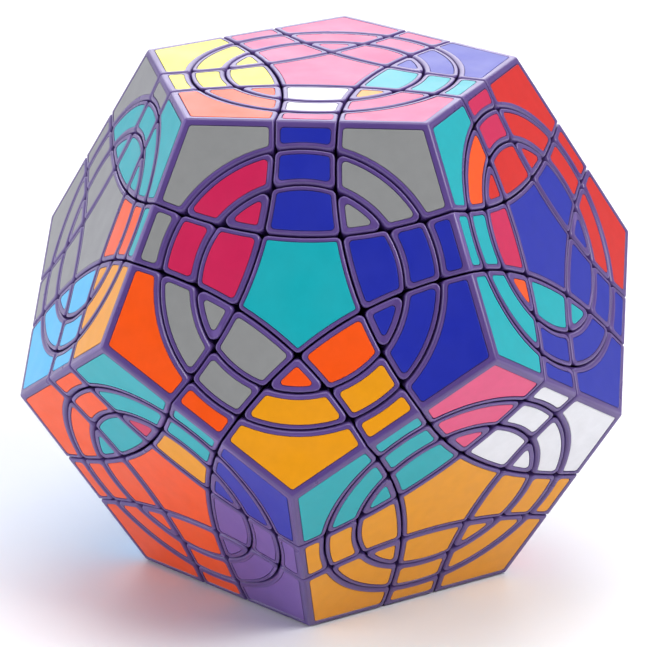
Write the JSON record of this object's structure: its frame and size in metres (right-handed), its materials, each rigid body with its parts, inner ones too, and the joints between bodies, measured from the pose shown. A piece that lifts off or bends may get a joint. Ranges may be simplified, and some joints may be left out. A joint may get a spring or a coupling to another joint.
{
  "type": "dodecahedron twisty puzzle",
  "caption": "Hand-held dodecahedral twisty puzzle with a disc and a ring in every face, pieces hooked over a sprung ball core.",
  "frame": {"origin": "centre of the ball core, which is the centre of the dodecahedron", "axes": "+Z through the centre of the top face, -Y towards the side that the front face looks to; the front face's axis is (0, -0.894, 0.447)"},
  "size_m": [0.101, 0.1064, 0.086],
  "materials": {
    "purple_plastic": "moulded purple ABS, satin",
    "hub_plastic": "moulded dark purple ABS",
    "core_plastic": "moulded white nylon",
    "screw_steel": "zinc-plated steel",
    "spring_steel": "drawn spring steel"
  },
  "bodies": {
    "body": {"side_hubs": "hub_plastic", "side_caps": "purple_plastic", "side_disc_edges": "purple_plastic", "side_disc_corners": "purple_plastic", "side_ring_edges": "purple_plastic", "side_ring_corners": "purple_plastic", "body_edges": "purple_plastic", "body_corners": "purple_plastic", "core_upper": "core_plastic", "core_lower": "core_plastic", "centre_screws": "screw_steel", "centre_springs": "spring_steel"},
    "front_layer": {"layer_edges": "purple_plastic", "layer_corners": "purple_plastic", "layer_side_disc_edges": "purple_plastic", "layer_side_disc_corners": "purple_plastic", "layer_side_ring_edges": "purple_plastic", "layer_side_ring_corners": "purple_plastic"},
    "front_ring": {"front_ring_edges": "purple_plastic", "front_ring_corners": "purple_plastic"},
    "front_disc": {"front_hub": "hub_plastic", "front_cap": "purple_plastic", "front_disc_edges": "purple_plastic", "front_disc_corners": "purple_plastic"},
    "rear_upper_left_ring": {"rear_upper_left_ring_edges": "purple_plastic", "rear_upper_left_ring_corners": "purple_plastic"},
    "rear_upper_left_disc": {"rear_upper_left_hub": "hub_plastic", "rear_upper_left_cap": "purple_plastic", "rear_upper_left_disc_edges": "purple_plastic", "rear_upper_left_disc_corners": "purple_plastic"},
    "rear_upper_right_ring": {"rear_upper_right_ring_edges": "purple_plastic", "rear_upper_right_ring_corners": "purple_plastic"},
    "rear_upper_right_disc": {"rear_upper_right_hub": "hub_plastic", "rear_upper_right_cap": "purple_plastic", "rear_upper_right_disc_edges": "purple_plastic", "rear_upper_right_disc_corners": "purple_plastic"},
    "rear_lower_left_ring": {"rear_lower_left_ring_edges": "purple_plastic", "rear_lower_left_ring_corners": "purple_plastic"},
    "rear_lower_left_disc": {"rear_lower_left_hub": "hub_plastic", "rear_lower_left_cap": "purple_plastic", "rear_lower_left_disc_edges": "purple_plastic", "rear_lower_left_disc_corners": "purple_plastic"},
    "rear_lower_right_ring": {"rear_lower_right_ring_edges": "purple_plastic", "rear_lower_right_ring_corners": "purple_plastic"},
    "rear_lower_right_disc": {"rear_lower_right_hub": "hub_plastic", "rear_lower_right_cap": "purple_plastic", "rear_lower_right_disc_edges": "purple_plastic", "rear_lower_right_disc_corners": "purple_plastic"},
    "rear_lower_ring": {"rear_lower_ring_edges": "purple_plastic", "rear_lower_ring_corners": "purple_plastic"},
    "rear_lower_disc": {"rear_lower_hub": "hub_plastic", "rear_lower_cap": "purple_plastic", "rear_lower_disc_edges": "purple_plastic", "rear_lower_disc_corners": "purple_plastic"},
    "under_ring": {"under_ring_edges": "purple_plastic", "under_ring_corners": "purple_plastic"},
    "under_disc": {"under_hub": "hub_plastic", "under_cap": "purple_plastic", "under_disc_edges": "purple_plastic", "under_disc_corners": "purple_plastic"}
  },
  "joints": [
    {"name": "front_layer_turn", "type": "hinge", "parent": "body", "child": "front_layer", "pos_m": [0, 0, 0], "axis": [0, -0.8944, 0.4472], "continuous": true},
    {"name": "front_ring_turn", "type": "hinge", "parent": "front_layer", "child": "front_ring", "pos_m": [0, 0, 0], "axis": [0, -0.8944, 0.4472], "continuous": true},
    {"name": "front_disc_turn", "type": "hinge", "parent": "front_ring", "child": "front_disc", "pos_m": [0, 0, 0], "axis": [0, -0.8944, 0.4472], "continuous": true},
    {"name": "rear_upper_left_ring_turn", "type": "hinge", "parent": "body", "child": "rear_upper_left_ring", "pos_m": [0, 0, 0], "axis": [-0.5257, 0.7236, 0.4472], "continuous": true},
    {"name": "rear_upper_left_disc_turn", "type": "hinge", "parent": "rear_upper_left_ring", "child": "rear_upper_left_disc", "pos_m": [0, 0, 0], "axis": [-0.5257, 0.7236, 0.4472], "continuous": true},
    {"name": "rear_upper_right_ring_turn", "type": "hinge", "parent": "body", "child": "rear_upper_right_ring", "pos_m": [0, 0, 0], "axis": [0.5257, 0.7236, 0.4472], "continuous": true},
    {"name": "rear_upper_right_disc_turn", "type": "hinge", "parent": "rear_upper_right_ring", "child": "rear_upper_right_disc", "pos_m": [0, 0, 0], "axis": [0.5257, 0.7236, 0.4472], "continuous": true},
    {"name": "rear_lower_left_ring_turn", "type": "hinge", "parent": "body", "child": "rear_lower_left_ring", "pos_m": [0, 0, 0], "axis": [-0.8507, 0.2764, -0.4472], "continuous": true},
    {"name": "rear_lower_left_disc_turn", "type": "hinge", "parent": "rear_lower_left_ring", "child": "rear_lower_left_disc", "pos_m": [0, 0, 0], "axis": [-0.8507, 0.2764, -0.4472], "continuous": true},
    {"name": "rear_lower_right_ring_turn", "type": "hinge", "parent": "body", "child": "rear_lower_right_ring", "pos_m": [0, 0, 0], "axis": [0.8507, 0.2764, -0.4472], "continuous": true},
    {"name": "rear_lower_right_disc_turn", "type": "hinge", "parent": "rear_lower_right_ring", "child": "rear_lower_right_disc", "pos_m": [0, 0, 0], "axis": [0.8507, 0.2764, -0.4472], "continuous": true},
    {"name": "rear_lower_ring_turn", "type": "hinge", "parent": "body", "child": "rear_lower_ring", "pos_m": [0, 0, 0], "axis": [0, 0.8944, -0.4472], "continuous": true},
    {"name": "rear_lower_disc_turn", "type": "hinge", "parent": "rear_lower_ring", "child": "rear_lower_disc", "pos_m": [0, 0, 0], "axis": [0, 0.8944, -0.4472], "continuous": true},
    {"name": "under_ring_turn", "type": "hinge", "parent": "body", "child": "under_ring", "pos_m": [0, 0, 0], "axis": [0, 0, -1], "continuous": true},
    {"name": "under_disc_turn", "type": "hinge", "parent": "under_ring", "child": "under_disc", "pos_m": [0, 0, 0], "axis": [0, 0, -1], "continuous": true}
  ]
}
